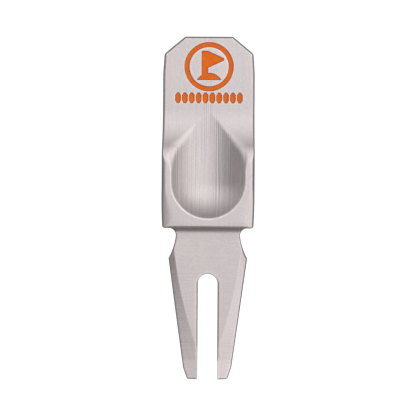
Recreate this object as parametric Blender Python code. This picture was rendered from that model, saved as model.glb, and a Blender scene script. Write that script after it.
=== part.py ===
"""Divot repair tool: one milled metal body with a head plate, a raised thumb scoop and a two-prong
fork, and the paint that fills the marks engraved in its head plate.

Frame: the tool lies on its flat back at z = 0. +Z is up through its thickness, +Y runs from the
prong tips to the head, and the origin is the middle of its footprint. Constants and outlines are
in millimetres, and become metres when a mesh is made.
"""

from math import acos, atan2, cos, degrees, pi, radians, sin, sqrt, tan

import bmesh
import bpy
from mathutils import Vector

MM = 0.001

# Overall plan
LENGTH = 80.0
TOP_Y = LENGTH / 2
TIP_Y = -LENGTH / 2
BODY_HALF_WIDTH = 10.64
TOP_EDGE_HALF_WIDTH = 5.56
TOP_EDGE_CORNER_RADIUS = 0.9
TOP_SIDE_X = 10.34
TOP_SIDE_Y = 36.0
TOP_SIDE_CORNER_RADIUS = 1.1
TOP_SIDE_RUN = 4.75

# Heights above the flat back
HEAD_Z = 4.5
RIM_Z = 8.5
FORK_ROOT_Z = 3.4
FORK_FALL = 0.9
BACK_EDGE_BREAK = 0.3

# The rise from the head plate to the rim: a hollow curve, then a rounded one, same tilt at the join
RISE_START_Y = 23.15
RISE_HOLLOW_RADIUS = 15.55
RISE_ROUND_RADIUS = 8.55
RISE_TILT = 33.5

# The step from the rim down to the fork
WALL_Y = -4.39
WALL_FILLET = 1.48
WALL_EDGE_RADIUS = 0.7
WALL_LIP_RUN = 1.3
WALL_LIP_FALL = 0.08
BODY_CORNER_RADIUS = 0.5
BODY_TAPER_START_Y = 2.5
BODY_TAPER = 0.22
RIM_EDGE_RADIUS = 1.15

# Thumb scoop: a round-bottomed channel that runs out into the head plate and ends in part of a ball
SCOOP_HALF_WIDTH = 8.42
SCOOP_END_Y = 6.22
SCOOP_FLOOR_Z = HEAD_Z + 0.03

# Fork
NECK_HALF_WIDTH = 7.5
FLARE_Y = -6.37
FLARE_RADIUS = 14.1
SHOULDER_HALF_WIDTH = 9.2
SHOULDER_Y = -11.5
FORK_SIDE_SLOPE = 0.137
PRONG_CORNER_RUN = 2.7
PRONG_CORNER_RADIUS = 2.6
PRONG_END_HALF_WIDTH = 4.72
PRONG_END_RADIUS = 0.35
SHOULDER_RADIUS = 0.5
SLOT_HALF_WIDTH = 2.31
SLOT_TOP_Y = -15.1
TIP_FACET_Y = -35.33
TIP_FACET_FALL = 0.1

# Long bevel along each outer side of the fork, wider and flatter toward the tips
BEVEL_START_Y = -8.2
BEVEL_WIDTH_AT_SHOULDER = 1.6
BEVEL_WIDTH_GROWTH = 0.0052
BEVEL_TILT_AT_SHOULDER = 28.0
BEVEL_TILT_AT_TIP = 13.5
BEVEL_TILT_POWER = 0.55
BEVEL_STATIONS = 14
BEVEL_STATION_POWER = 1.3

# Engraved marks and the paint in them
ENGRAVING_DEPTH = 0.45
PAINT_GAP = 0.03
PAINT_RECESS = 0.06
STROKE = 1.07
EMBLEM_Y = 32.95
RING_OUTER_RADIUS = 5.65
FLAG_POLE_X = -1.0
FLAG_POLE_WIDTH = 1.4
FLAG_BOTTOM_Y = -3.05
FLAG_TOP_Y = 3.65
FLAG_FLY = 3.7
FLAG_HOIST = 3.9
FLAG_TIP_BLUNT = 0.25
MOUND_HALF_WIDTH = 2.8
MOUND_HEIGHT = 1.6
MARK_ROW_Y = 25.72
MARK_COUNT = 10
MARK_PITCH = 1.59
MARK_WIDTH = 1.26
MARK_HEIGHT = 2.43
MARK_CHAMFER_X = 0.38
MARK_CHAMFER_Y = 0.62

# Room that every cutter keeps past the surface it opens
CLEAR = 3.0


def clear_scene():
    for obj in list(bpy.data.objects):
        bpy.data.objects.remove(obj, do_unlink=True)


def metal_material():
    material = bpy.data.materials.new("satin_aluminium")
    material.use_nodes = True
    shader = material.node_tree.nodes["Principled BSDF"]
    shader.inputs["Base Color"].default_value = (0.62, 0.57, 0.57, 1.0)
    shader.inputs["Metallic"].default_value = 1.0
    shader.inputs["Roughness"].default_value = 0.42
    material.diffuse_color = (0.62, 0.57, 0.57, 1.0)
    return material


def paint_material():
    material = bpy.data.materials.new("orange_paint")
    material.use_nodes = True
    shader = material.node_tree.nodes["Principled BSDF"]
    shader.inputs["Base Color"].default_value = (0.79, 0.13, 0.012, 1.0)
    shader.inputs["Metallic"].default_value = 0.0
    shader.inputs["Roughness"].default_value = 0.35
    material.diffuse_color = (0.79, 0.13, 0.012, 1.0)
    return material


def arc(centre, radius, start, end, steps):
    """Points along an arc, from one angle in degrees to another."""
    points = []
    for i in range(steps + 1):
        angle = radians(start + (end - start) * i / steps)
        points.append((centre[0] + radius * cos(angle), centre[1] + radius * sin(angle)))
    return points


def rounded_corner(before, corner, after, radius, steps):
    """The arc that rounds the corner between two straight edges."""
    corner = Vector(corner)
    back = (Vector(before) - corner).normalized()
    ahead = (Vector(after) - corner).normalized()
    half = back.angle(ahead) / 2
    reach = radius / tan(half)
    centre = corner + (back + ahead).normalized() * (radius / sin(half))
    start = corner + back * reach - centre
    end = corner + ahead * reach - centre
    first = degrees(atan2(start.y, start.x))
    turn = degrees(atan2(start.x * end.y - start.y * end.x, start.dot(end)))
    return arc(centre, radius, first, first + turn, steps)


def signed_area(points):
    total = 0.0
    for (x0, y0), (x1, y1) in zip(points, points[1:] + points[:1]):
        total += x0 * y1 - x1 * y0
    return total / 2


def shrunk(points, distance):
    """A closed outline with every edge moved inward by the same distance."""
    if distance == 0:
        return list(points)
    inward = distance if signed_area(points) > 0 else -distance
    moved = []
    for i, point in enumerate(points):
        here = Vector(point)
        before = (here - Vector(points[i - 1])).normalized()
        after = (Vector(points[(i + 1) % len(points)]) - here).normalized()
        side = Vector((-before.y, before.x)) + Vector((-after.y, after.x))
        side.normalize()
        cosine = side.dot(Vector((-after.y, after.x)))
        here += side * (inward / cosine)
        moved.append((here.x, here.y))
    return moved


def new_object(name, bm):
    bmesh.ops.recalc_face_normals(bm, faces=bm.faces)
    mesh = bpy.data.meshes.new(name)
    bm.to_mesh(mesh)
    bm.free()
    obj = bpy.data.objects.new(name, mesh)
    bpy.context.scene.collection.objects.link(obj)
    return obj


def extruded(name, outline, low, high):
    """A closed outline in the plan, made solid between two heights."""
    bm = bmesh.new()
    corners = [bm.verts.new((x * MM, y * MM, low * MM)) for x, y in outline]
    face = bm.faces.new(corners)
    lifted = bmesh.ops.extrude_face_region(bm, geom=[face])["geom"]
    top = [item for item in lifted if isinstance(item, bmesh.types.BMVert)]
    bmesh.ops.translate(bm, vec=(0, 0, (high - low) * MM), verts=top)
    return new_object(name, bm)


def extruded_across(name, profile, half_width):
    """A closed side profile of (y, z) points, made solid across the tool's width."""
    bm = bmesh.new()
    corners = [bm.verts.new((-half_width * MM, y * MM, z * MM)) for y, z in profile]
    face = bm.faces.new(corners)
    moved = bmesh.ops.extrude_face_region(bm, geom=[face])["geom"]
    far = [item for item in moved if isinstance(item, bmesh.types.BMVert)]
    bmesh.ops.translate(bm, vec=(2 * half_width * MM, 0, 0), verts=far)
    return new_object(name, bm)


def lofted(name, sections):
    """A solid through sections that have the same number of (x, y, z) points."""
    bm = bmesh.new()
    loops = [[bm.verts.new([value * MM for value in point]) for point in section] for section in sections]
    for first, second in zip(loops, loops[1:]):
        for i in range(len(first)):
            j = (i + 1) % len(first)
            bm.faces.new((first[i], first[j], second[j], second[i]))
    bm.faces.new(loops[0])
    bm.faces.new(list(reversed(loops[-1])))
    return new_object(name, bm)


def as_cutter(obj):
    obj.hide_render = True
    obj.display_type = "WIRE"
    return obj


def cut(target, cutter):
    as_cutter(cutter)
    boolean = target.modifiers.new(f"cut {cutter.name}", "BOOLEAN")
    boolean.operation = "DIFFERENCE"
    boolean.solver = "EXACT"
    boolean.object = cutter


def fork_half_width(y):
    """Half the width between the fork's outer sides, which run straight toward the tips."""
    return SHOULDER_HALF_WIDTH - FORK_SIDE_SLOPE * (SHOULDER_Y - y)


def fork_face_z(y):
    """Height of the fork's middle face, which falls away slowly toward the tips."""
    run = WALL_Y - WALL_FILLET - y
    full = WALL_Y - WALL_FILLET - TIP_FACET_Y
    return FORK_ROOT_Z - FORK_FALL * (run / full) ** 2


def flare_centre():
    """Centre of the hollow arc between the neck and the shoulder of the fork."""
    neck = Vector((NECK_HALF_WIDTH, FLARE_Y))
    shoulder = Vector((SHOULDER_HALF_WIDTH, SHOULDER_Y))
    middle = (neck + shoulder) / 2
    half_chord = (shoulder - neck).length / 2
    across = Vector((neck.y - shoulder.y, shoulder.x - neck.x)).normalized()
    return middle + across * sqrt(FLARE_RADIUS**2 - half_chord**2)


def flare_angles(centre):
    first = degrees(atan2(FLARE_Y - centre.y, NECK_HALF_WIDTH - centre.x)) % 360
    last = degrees(atan2(SHOULDER_Y - centre.y, SHOULDER_HALF_WIDTH - centre.x)) % 360
    return first, last


def neck_fillet(flare):
    """The hollow arc from the body's lower edge to the neck, which meets the flare without a corner."""
    last = flare_angles(flare)[0]
    away = Vector((cos(radians(last)), sin(radians(last))))
    radius = (WALL_Y - FLARE_Y) / (1 - away.y)
    centre = (NECK_HALF_WIDTH - away.x * radius, WALL_Y - radius)
    return arc(centre, radius, 90, last, 9)


def body_half_width(y):
    """Half the width of the head and body, whose long sides draw in a little before the step."""
    share = min(max((BODY_TAPER_START_Y - y) / (BODY_TAPER_START_Y - WALL_Y), 0.0), 1.0)
    return BODY_HALF_WIDTH - BODY_TAPER * share**2


def tapered_side(steps):
    """Points down the part of the body's right side that draws in, short of its lower corner."""
    last = WALL_Y + BODY_CORNER_RADIUS + 0.2
    heights = [BODY_TAPER_START_Y + (last - BODY_TAPER_START_Y) * i / steps for i in range(steps + 1)]
    return [(body_half_width(y), y) for y in heights]


def right_side_outline():
    """The plan outline's right half, from the top edge down to the end of the right prong."""
    top = (TOP_EDGE_HALF_WIDTH, TOP_Y)
    corner = (TOP_SIDE_X, TOP_SIDE_Y)
    side = (BODY_HALF_WIDTH, TOP_SIDE_Y - TOP_SIDE_RUN)
    points = rounded_corner((0.0, TOP_Y), top, corner, TOP_EDGE_CORNER_RADIUS, 3)
    points += rounded_corner(top, corner, side, TOP_SIDE_CORNER_RADIUS, 4)
    points.append(side)
    points += tapered_side(5)
    body_corner = (body_half_width(WALL_Y), WALL_Y)
    points += rounded_corner(points[-1], body_corner, (NECK_HALF_WIDTH, WALL_Y), BODY_CORNER_RADIUS, 4)
    centre = flare_centre()
    points += neck_fillet(centre)
    first, last = flare_angles(centre)
    points += arc(centre, FLARE_RADIUS, first, last, 7)[1:-1]
    flare_end = points[-1]
    shoulder = (SHOULDER_HALF_WIDTH, SHOULDER_Y)
    side_end_y = TIP_Y + PRONG_CORNER_RUN
    side_end = (fork_half_width(side_end_y), side_end_y)
    prong_end = (PRONG_END_HALF_WIDTH, TIP_Y)
    points += rounded_corner(flare_end, shoulder, side_end, SHOULDER_RADIUS, 3)
    points += rounded_corner(shoulder, side_end, prong_end, PRONG_CORNER_RADIUS, 4)
    points += rounded_corner(side_end, prong_end, (0.0, TIP_Y), PRONG_END_RADIUS, 3)
    return points


def plan_outline():
    right = right_side_outline()
    left = [(-x, y) for x, y in reversed(right)]
    return right + left


def break_back_edge(obj):
    """A small bevel round the edge of the flat back, which the tool rests on."""
    bm = bmesh.new()
    bm.from_mesh(obj.data)
    low = [edge for edge in bm.edges if all(vert.co.z < 0.1 * MM for vert in edge.verts)]
    bmesh.ops.bevel(
        bm,
        geom=low,
        offset=BACK_EDGE_BREAK * MM,
        offset_type="OFFSET",
        segments=2,
        profile=0.5,
        affect="EDGES",
        clamp_overlap=True,
    )
    bm.to_mesh(obj.data)
    bm.free()


def rise_profile():
    """Side-view points of the smooth rise, from the head plate to the rim."""
    hollow_centre = (RISE_START_Y, HEAD_Z + RISE_HOLLOW_RADIUS)
    points = arc(hollow_centre, RISE_HOLLOW_RADIUS, 270, 270 - RISE_TILT, 10)
    length = (RISE_HOLLOW_RADIUS + RISE_ROUND_RADIUS) * sin(radians(RISE_TILT))
    round_centre = (RISE_START_Y - length, RIM_Z - RISE_ROUND_RADIUS)
    points += arc(round_centre, RISE_ROUND_RADIUS, 90 - RISE_TILT, 90, 8)[1:]
    return points


def fork_profile():
    """Side-view points from the rim's lip, down the wall and its fillet, along the fork to the tips."""
    points = [(WALL_Y + WALL_LIP_RUN, RIM_Z)]
    edge_centre = (WALL_Y + WALL_EDGE_RADIUS, RIM_Z - WALL_LIP_FALL - WALL_EDGE_RADIUS)
    points += arc(edge_centre, WALL_EDGE_RADIUS, 90, 180, 4)
    fillet_centre = (WALL_Y - WALL_FILLET, FORK_ROOT_Z + WALL_FILLET)
    points += arc(fillet_centre, WALL_FILLET, 0, -90, 8)
    steps = 10
    for i in range(1, steps + 1):
        y = points[-1][0] + (TIP_FACET_Y - points[-1][0]) / (steps + 1 - i)
        points.append((y, fork_face_z(y)))
    past = TIP_Y - CLEAR
    fall = TIP_FACET_FALL * (TIP_FACET_Y - past)
    points.append((past, fork_face_z(TIP_FACET_Y) - fall))
    return points


def front_cutter():
    """Everything above the tool's side profile."""
    profile = [(TOP_Y + CLEAR, HEAD_Z)] + rise_profile() + fork_profile()
    profile.append((TIP_Y - CLEAR, RIM_Z + CLEAR))
    profile.append((TOP_Y + CLEAR, RIM_Z + CLEAR))
    return extruded_across("front_cutter", profile, BODY_HALF_WIDTH + CLEAR)


def scoop_cutter():
    """A ball and the straight channel behind it, turned and swept to one closed shape."""
    depth = RIM_Z - SCOOP_FLOOR_Z
    radius = (SCOOP_HALF_WIDTH**2 + depth**2) / (2 * depth)
    centre_z = SCOOP_FLOOR_Z + radius
    sides = 56
    rings = 14
    bm = bmesh.new()
    pole = bm.verts.new((0, (SCOOP_END_Y - radius) * MM, centre_z * MM))
    loops = []
    for i in range(1, rings + 1):
        swing = pi / 2 * i / rings
        y = SCOOP_END_Y - radius * cos(swing)
        loops.append((y, radius * sin(swing)))
    loops.append((RISE_START_Y + 1.0, radius))
    rows = []
    for y, ring in loops:
        row = []
        for k in range(sides):
            angle = 2 * pi * (k + 0.5) / sides
            row.append(bm.verts.new((ring * cos(angle) * MM, y * MM, (centre_z + ring * sin(angle)) * MM)))
        rows.append(row)
    for k in range(sides):
        bm.faces.new((pole, rows[0][k], rows[0][(k + 1) % sides]))
    for first, second in zip(rows, rows[1:]):
        for k in range(sides):
            n = (k + 1) % sides
            bm.faces.new((first[k], second[k], second[n], first[n]))
    bm.faces.new(rows[-1])
    return new_object("scoop_cutter", bm)


def rim_edge_cutter(name, side):
    """Rounds the long outer edge of the raised body, at one height, so it fades out on the rise."""
    inner = BODY_HALF_WIDTH - RIM_EDGE_RADIUS
    below = RIM_Z - RIM_EDGE_RADIUS
    section = arc((inner, below), RIM_EDGE_RADIUS, 90, 0, 5)
    section += [(BODY_HALF_WIDTH + CLEAR, below), (BODY_HALF_WIDTH + CLEAR, RIM_Z + CLEAR)]
    section.append((inner, RIM_Z + CLEAR))
    ends = (WALL_Y - CLEAR, RISE_START_Y)
    return lofted(name, [[(side * x, y, z) for x, z in section] for y in ends])


def slot_cutter():
    centre = (0.0, SLOT_TOP_Y - SLOT_HALF_WIDTH)
    outline = arc(centre, SLOT_HALF_WIDTH, 0, 180, 20)
    outline += [(-SLOT_HALF_WIDTH, TIP_Y - CLEAR), (SLOT_HALF_WIDTH, TIP_Y - CLEAR)]
    return extruded("slot_cutter", outline, -CLEAR, RIM_Z + CLEAR)


def bevel_section(y, side):
    """Section of the bevel cutter: the bevel's slope, and room outside and above it."""
    run = SHOULDER_Y - y
    width = BEVEL_WIDTH_AT_SHOULDER + BEVEL_WIDTH_GROWTH * max(run, 0.0) ** 2
    share = min(max(run / (SHOULDER_Y - TIP_FACET_Y), 0.0), 1.0) ** BEVEL_TILT_POWER
    tilt = tan(radians(BEVEL_TILT_AT_SHOULDER + (BEVEL_TILT_AT_TIP - BEVEL_TILT_AT_SHOULDER) * share))
    outer = fork_half_width(y)
    inner = outer - width
    face_z = fork_face_z(y)
    if y < TIP_FACET_Y:
        face_z = fork_face_z(TIP_FACET_Y) - TIP_FACET_FALL * (TIP_FACET_Y - y)
    over = 1.0
    above = RIM_Z + CLEAR
    return [
        (side * (inner - over), y, face_z + over * tilt),
        (side * (outer + over), y, face_z - (width + over) * tilt),
        (side * (outer + over), y, above),
        (side * (inner - over), y, above),
    ]


def bevel_cutter(name, side):
    count = BEVEL_STATIONS
    reach = TIP_FACET_Y - BEVEL_START_Y
    shares = [(i / count) ** BEVEL_STATION_POWER for i in range(count + 1)]
    stations = [BEVEL_START_Y + reach * share for share in shares]
    stations.append(TIP_Y - 1.0)
    return lofted(name, [bevel_section(y, side) for y in stations])


def ring_outline(radius):
    return arc((0.0, EMBLEM_Y), radius, 0, 360, 56)[:-1]


def ring_shape(name, inset, low, high):
    """The round ring of the emblem, made by turning its section about the emblem's middle."""
    outer = ring_outline(RING_OUTER_RADIUS - inset)
    inner = ring_outline(RING_OUTER_RADIUS - STROKE + inset)
    bm = bmesh.new()
    loops = []
    for outline, z in ((outer, low), (outer, high), (inner, high), (inner, low)):
        loops.append([bm.verts.new((x * MM, y * MM, z * MM)) for x, y in outline])
    count = len(outer)
    for first, second in zip(loops, loops[1:] + loops[:1]):
        for i in range(count):
            j = (i + 1) % count
            bm.faces.new((first[i], first[j], second[j], second[i]))
    return new_object(name, bm)


def flag_outline():
    """A pennant on a pin that stands on a low mound, as one closed outline."""
    left = FLAG_POLE_X - FLAG_POLE_WIDTH / 2
    right = FLAG_POLE_X + FLAG_POLE_WIDTH / 2
    radius = (MOUND_HALF_WIDTH**2 + MOUND_HEIGHT**2) / (2 * MOUND_HEIGHT)
    centre = (0.0, FLAG_BOTTOM_Y + MOUND_HEIGHT - radius)
    foot = degrees(acos(MOUND_HALF_WIDTH / radius))
    points = arc(centre, radius, foot, degrees(acos(right / radius)), 8)
    tip_x = right + FLAG_FLY
    tip_y = FLAG_TOP_Y - FLAG_HOIST / 2
    points += [(right, FLAG_TOP_Y - FLAG_HOIST), (tip_x, tip_y - FLAG_TIP_BLUNT)]
    points += [(tip_x, tip_y + FLAG_TIP_BLUNT), (right, FLAG_TOP_Y), (left, FLAG_TOP_Y)]
    points += arc(centre, radius, degrees(acos(left / radius)), 180 - foot, 5)
    return [(x, y + EMBLEM_Y) for x, y in points]


def mark_outline(index):
    """One plain bar of the row below the emblem, with its four corners cut."""
    x = (index - (MARK_COUNT - 1) / 2) * MARK_PITCH
    w = MARK_WIDTH / 2
    h = MARK_HEIGHT / 2
    cut_w = w - MARK_CHAMFER_X
    cut_h = h - MARK_CHAMFER_Y
    points = [(w, -cut_h), (w, cut_h), (cut_w, h), (-cut_w, h)]
    points += [(-w, cut_h), (-w, -cut_h), (-cut_w, -h), (cut_w, -h)]
    return [(x + px, MARK_ROW_Y + py) for px, py in points]


def engrave_and_fill(body, metal_depth_z, paint):
    """Each mark is a pocket in the head plate and a separate deposit of paint that lies in it."""
    pocket_top = HEAD_Z + CLEAR
    paint_low = metal_depth_z + PAINT_GAP
    paint_high = HEAD_Z - PAINT_RECESS
    cut(body, ring_shape("ring_cutter", 0.0, metal_depth_z, pocket_top))
    fills = [ring_shape("paint_ring", PAINT_GAP, paint_low, paint_high)]
    outlines = [("flag", flag_outline())]
    for i in range(MARK_COUNT):
        outlines.append((f"mark_{i + 1:02d}", mark_outline(i)))
    for name, outline in outlines:
        cut(body, extruded(f"{name}_cutter", outline, metal_depth_z, pocket_top))
        fills.append(extruded(f"paint_{name}", shrunk(outline, PAINT_GAP), paint_low, paint_high))
    for fill in fills:
        fill.data.materials.append(paint)


def smooth_rounds(obj):
    obj.data.shade_smooth()
    obj.data.set_sharp_from_angle(angle=radians(25))


def milled_body(metal):
    body = extruded("milled_body", plan_outline(), 0.0, RIM_Z)
    break_back_edge(body)
    body.data.materials.append(metal)
    smooth_rounds(body)
    cut(body, front_cutter())
    cut(body, scoop_cutter())
    cut(body, rim_edge_cutter("rim_edge_cutter_right", 1))
    cut(body, rim_edge_cutter("rim_edge_cutter_left", -1))
    cut(body, slot_cutter())
    cut(body, bevel_cutter("bevel_cutter_right", 1))
    cut(body, bevel_cutter("bevel_cutter_left", -1))
    return body


def main():
    clear_scene()
    body = milled_body(metal_material())
    engrave_and_fill(body, HEAD_Z - ENGRAVING_DEPTH, paint_material())


main()
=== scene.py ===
"""Looks of the divot repair tool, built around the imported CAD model.

The one milled body is replaced by a finely meshed copy of itself, with its broken edges, blends and
tool marks as real geometry. The paint in each engraved mark is replaced by a dished fill.
Lengths below are in millimetres, in the CAD model's frame, and become metres when a mesh is made.
"""

from math import acos, atan2, cos, degrees, pi, radians, sin, sqrt, tan

import bmesh
import bpy
import numpy as np
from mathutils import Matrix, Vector
from mathutils.geometry import delaunay_2d_cdt


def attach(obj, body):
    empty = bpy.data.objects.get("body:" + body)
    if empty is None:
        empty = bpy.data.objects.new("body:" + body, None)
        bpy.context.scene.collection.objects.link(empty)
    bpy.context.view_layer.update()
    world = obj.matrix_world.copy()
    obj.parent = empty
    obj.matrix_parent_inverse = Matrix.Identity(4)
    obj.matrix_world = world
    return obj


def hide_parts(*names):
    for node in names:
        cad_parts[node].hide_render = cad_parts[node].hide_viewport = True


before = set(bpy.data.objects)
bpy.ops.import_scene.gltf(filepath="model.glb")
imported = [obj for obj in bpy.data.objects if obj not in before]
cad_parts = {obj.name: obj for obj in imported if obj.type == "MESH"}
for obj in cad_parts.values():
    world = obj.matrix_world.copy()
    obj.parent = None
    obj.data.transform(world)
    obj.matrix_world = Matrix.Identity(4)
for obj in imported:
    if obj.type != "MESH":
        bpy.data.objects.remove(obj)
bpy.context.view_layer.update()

MM = 0.001

# The CAD model's own numbers
TOP_Y = 40.0
TIP_Y = -40.0
BODY_HALF_WIDTH = 10.64
TOP_EDGE_HALF_WIDTH = 5.56
TOP_EDGE_CORNER_RADIUS = 0.9
TOP_SIDE_X = 10.34
TOP_SIDE_Y = 36.0
TOP_SIDE_CORNER_RADIUS = 1.1
TOP_SIDE_RUN = 4.75
HEAD_Z = 4.5
RIM_Z = 8.5
FORK_ROOT_Z = 3.4
FORK_FALL = 0.9
RISE_START_Y = 23.15
RISE_HOLLOW_RADIUS = 15.55
RISE_ROUND_RADIUS = 8.55
RISE_TILT = 33.5
WALL_Y = -4.39
WALL_FILLET = 1.48
BODY_CORNER_RADIUS = 0.5
BODY_TAPER_START_Y = 2.5
BODY_TAPER = 0.22
SCOOP_HALF_WIDTH = 8.42
SCOOP_END_Y = 6.22
SCOOP_FLOOR_Z = HEAD_Z + 0.03
NECK_HALF_WIDTH = 7.5
FLARE_Y = -6.37
FLARE_RADIUS = 14.1
SHOULDER_HALF_WIDTH = 9.2
SHOULDER_Y = -11.5
FORK_SIDE_SLOPE = 0.137
PRONG_CORNER_RUN = 2.7
PRONG_CORNER_RADIUS = 2.6
PRONG_END_HALF_WIDTH = 4.72
PRONG_END_RADIUS = 0.35
SHOULDER_RADIUS = 0.5
SLOT_HALF_WIDTH = 2.31
SLOT_TOP_Y = -15.1
TIP_FACET_Y = -35.33
TIP_FACET_FALL = 0.1
BEVEL_START_Y = -8.2
BEVEL_WIDTH_AT_SHOULDER = 1.6
BEVEL_WIDTH_GROWTH = 0.0052
BEVEL_TILT_AT_SHOULDER = 28.0
BEVEL_TILT_AT_TIP = 13.5
BEVEL_TILT_POWER = 0.55
ENGRAVING_DEPTH = 0.45
PAINT_GAP = 0.03
PAINT_RECESS = 0.06
STROKE = 1.07
EMBLEM_Y = 32.95
RING_OUTER_RADIUS = 5.65
FLAG_POLE_X = -1.0
FLAG_POLE_WIDTH = 1.4
FLAG_BOTTOM_Y = -3.05
FLAG_TOP_Y = 3.65
FLAG_FLY = 3.7
FLAG_HOIST = 3.9
FLAG_TIP_BLUNT = 0.25
MOUND_HALF_WIDTH = 2.8
MOUND_HEIGHT = 1.6
MARK_ROW_Y = 25.72
MARK_COUNT = 10
MARK_PITCH = 1.59
MARK_WIDTH = 1.26
MARK_HEIGHT = 2.43
MARK_CHAMFER_X = 0.38
MARK_CHAMFER_Y = 0.62

# Broken edges, blends and small ridges that only this finer mesh has
HEAD_EDGE = 0.58
BODY_EDGE = 0.42
RIM_EDGE = 0.46
RIM_SIDE_WIDTH = 1.15
RIM_SIDE_GROWTH = 0.38
RIM_SIDE_GROWTH_Y = 4.5
RIM_SIDE_GROWTH_RUN = 5.6
RIM_SIDE_SLOPE = 0.28
RIM_SIDE_FLAT = 0.87
BACK_EDGE = 0.28
SLOT_EDGE = 0.4
FORK_EDGE = 0.34
WALL_EDGE = 0.68
EDGE_SOFTNESS = 0.35
LIP_RUN = 1.03
LIP_RUN_GROWTH = 0.022
LIP_SLOPE = 0.17
ROOT_RIDGES = (-5.98, -6.5)
ROOT_RIDGE_HEIGHT = 0.02
ROOT_RIDGE_HALF_WIDTH = 0.13
POCKET_EDGE = 0.09
TIP_INNER_CORNER = 0.3
RIM_RIDGE_RADIUS = 0.5
RISE_RIDGE_RADIUS = 2.2
SCALLOP_PITCH = 0.46
PAINT_DISH = 0.17
PAINT_DISH_REACH = 0.13

# Mesh spacing
STEP = 0.4
EDGE_ROWS = (0.0, 0.02, 0.06, 0.12, 0.19, 0.27, 0.36, 0.45, 0.55)
# Rows of the mesh: across the ridge round the scoop, in from the outline, and behind the wall
RIDGE_ROWS = (-0.95, -0.7, -0.5, -0.35, -0.22, -0.1, 0, 0.1, 0.22, 0.35, 0.5, 0.7, 0.9)
OUTLINE_ROWS = (0.54, 0.66, 0.8, 0.95, 1.12, 1.32, 1.55)
LIP_ROWS = (0.52, 0.6, 0.68, 0.76, 0.86, 0.96, 1.1, 1.3, 1.5, 1.75, 2.0, 2.3, 2.6)
# Rows of the fork's mesh: shares of its broken edge, and distances from its bends and root ridges
FORK_EDGE_SHARES = (0.0, 0.03, 0.11, 0.24, 0.4, 0.6, 0.8, 1.0)
BEVEL_ROWS = (-0.5, -0.3, -0.18, -0.1, -0.04, 0.04, 0.1, 0.18, 0.3, 0.5)
FACET_ROWS = (-0.3, -0.15, -0.05, 0.05, 0.15, 0.3)
ROOT_RIDGE_ROWS = (-0.14, -0.09, -0.045, 0.0, 0.045, 0.09, 0.14)
OUTLINE_STEP = 0.35
WELD_DIGITS = 4


# ---------------------------------------------------------------- outlines


def arc(centre, radius, start, end, steps):
    points = []
    for i in range(steps + 1):
        angle = radians(start + (end - start) * i / steps)
        points.append((centre[0] + radius * cos(angle), centre[1] + radius * sin(angle)))
    return points


def rounded_corner(before, corner, after, radius, steps):
    corner = Vector(corner)
    back = (Vector(before) - corner).normalized()
    ahead = (Vector(after) - corner).normalized()
    half = back.angle(ahead) / 2
    reach = radius / tan(half)
    centre = corner + (back + ahead).normalized() * (radius / sin(half))
    start = corner + back * reach - centre
    end = corner + ahead * reach - centre
    first = degrees(atan2(start.y, start.x))
    turn = degrees(atan2(start.x * end.y - start.y * end.x, start.dot(end)))
    return arc(centre, radius, first, first + turn, steps)


def filled_in(points, step):
    """The same open line with its long straight runs divided."""
    result = [points[0]]
    for (x0, y0), (x1, y1) in zip(points, points[1:]):
        length = sqrt((x1 - x0) ** 2 + (y1 - y0) ** 2)
        count = max(1, int(np.ceil(length / step - 0.25)))
        for i in range(1, count + 1):
            result.append((x0 + (x1 - x0) * i / count, y0 + (y1 - y0) * i / count))
    return result


def flare_centre():
    neck = Vector((NECK_HALF_WIDTH, FLARE_Y))
    shoulder = Vector((SHOULDER_HALF_WIDTH, SHOULDER_Y))
    middle = (neck + shoulder) / 2
    half_chord = (shoulder - neck).length / 2
    across = Vector((neck.y - shoulder.y, shoulder.x - neck.x)).normalized()
    return middle + across * sqrt(FLARE_RADIUS**2 - half_chord**2)


def flare_angles(centre):
    first = degrees(atan2(FLARE_Y - centre.y, NECK_HALF_WIDTH - centre.x)) % 360
    last = degrees(atan2(SHOULDER_Y - centre.y, SHOULDER_HALF_WIDTH - centre.x)) % 360
    return first, last


def neck_fillet(flare):
    last = flare_angles(flare)[0]
    away = Vector((cos(radians(last)), sin(radians(last))))
    radius = (WALL_Y - FLARE_Y) / (1 - away.y)
    centre = (NECK_HALF_WIDTH - away.x * radius, WALL_Y - radius)
    return arc(centre, radius, 90, last, 22)


def fork_half_width(y):
    return SHOULDER_HALF_WIDTH - FORK_SIDE_SLOPE * (SHOULDER_Y - y)


def body_half_width(y):
    share = np.clip((BODY_TAPER_START_Y - y) / (BODY_TAPER_START_Y - WALL_Y), 0.0, 1.0)
    return BODY_HALF_WIDTH - BODY_TAPER * share**2


def block_side():
    """Right side of the head and body, from the middle of the top edge to the wall's right end."""
    top = (TOP_EDGE_HALF_WIDTH, TOP_Y)
    corner = (TOP_SIDE_X, TOP_SIDE_Y)
    side = (BODY_HALF_WIDTH, TOP_SIDE_Y - TOP_SIDE_RUN)
    foot = (float(body_half_width(WALL_Y)), WALL_Y)
    points = [(0.0, TOP_Y)]
    points += rounded_corner((0.0, TOP_Y), top, corner, TOP_EDGE_CORNER_RADIUS, 5)
    points += rounded_corner(top, corner, side, TOP_SIDE_CORNER_RADIUS, 8)
    points += [side]
    for y in np.linspace(BODY_TAPER_START_Y, WALL_Y + BODY_CORNER_RADIUS + 0.2, 16):
        points.append((float(body_half_width(y)), float(y)))
    points += rounded_corner(points[-1], foot, (0.0, WALL_Y), BODY_CORNER_RADIUS, 8)
    return filled_in(points, OUTLINE_STEP)


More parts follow.
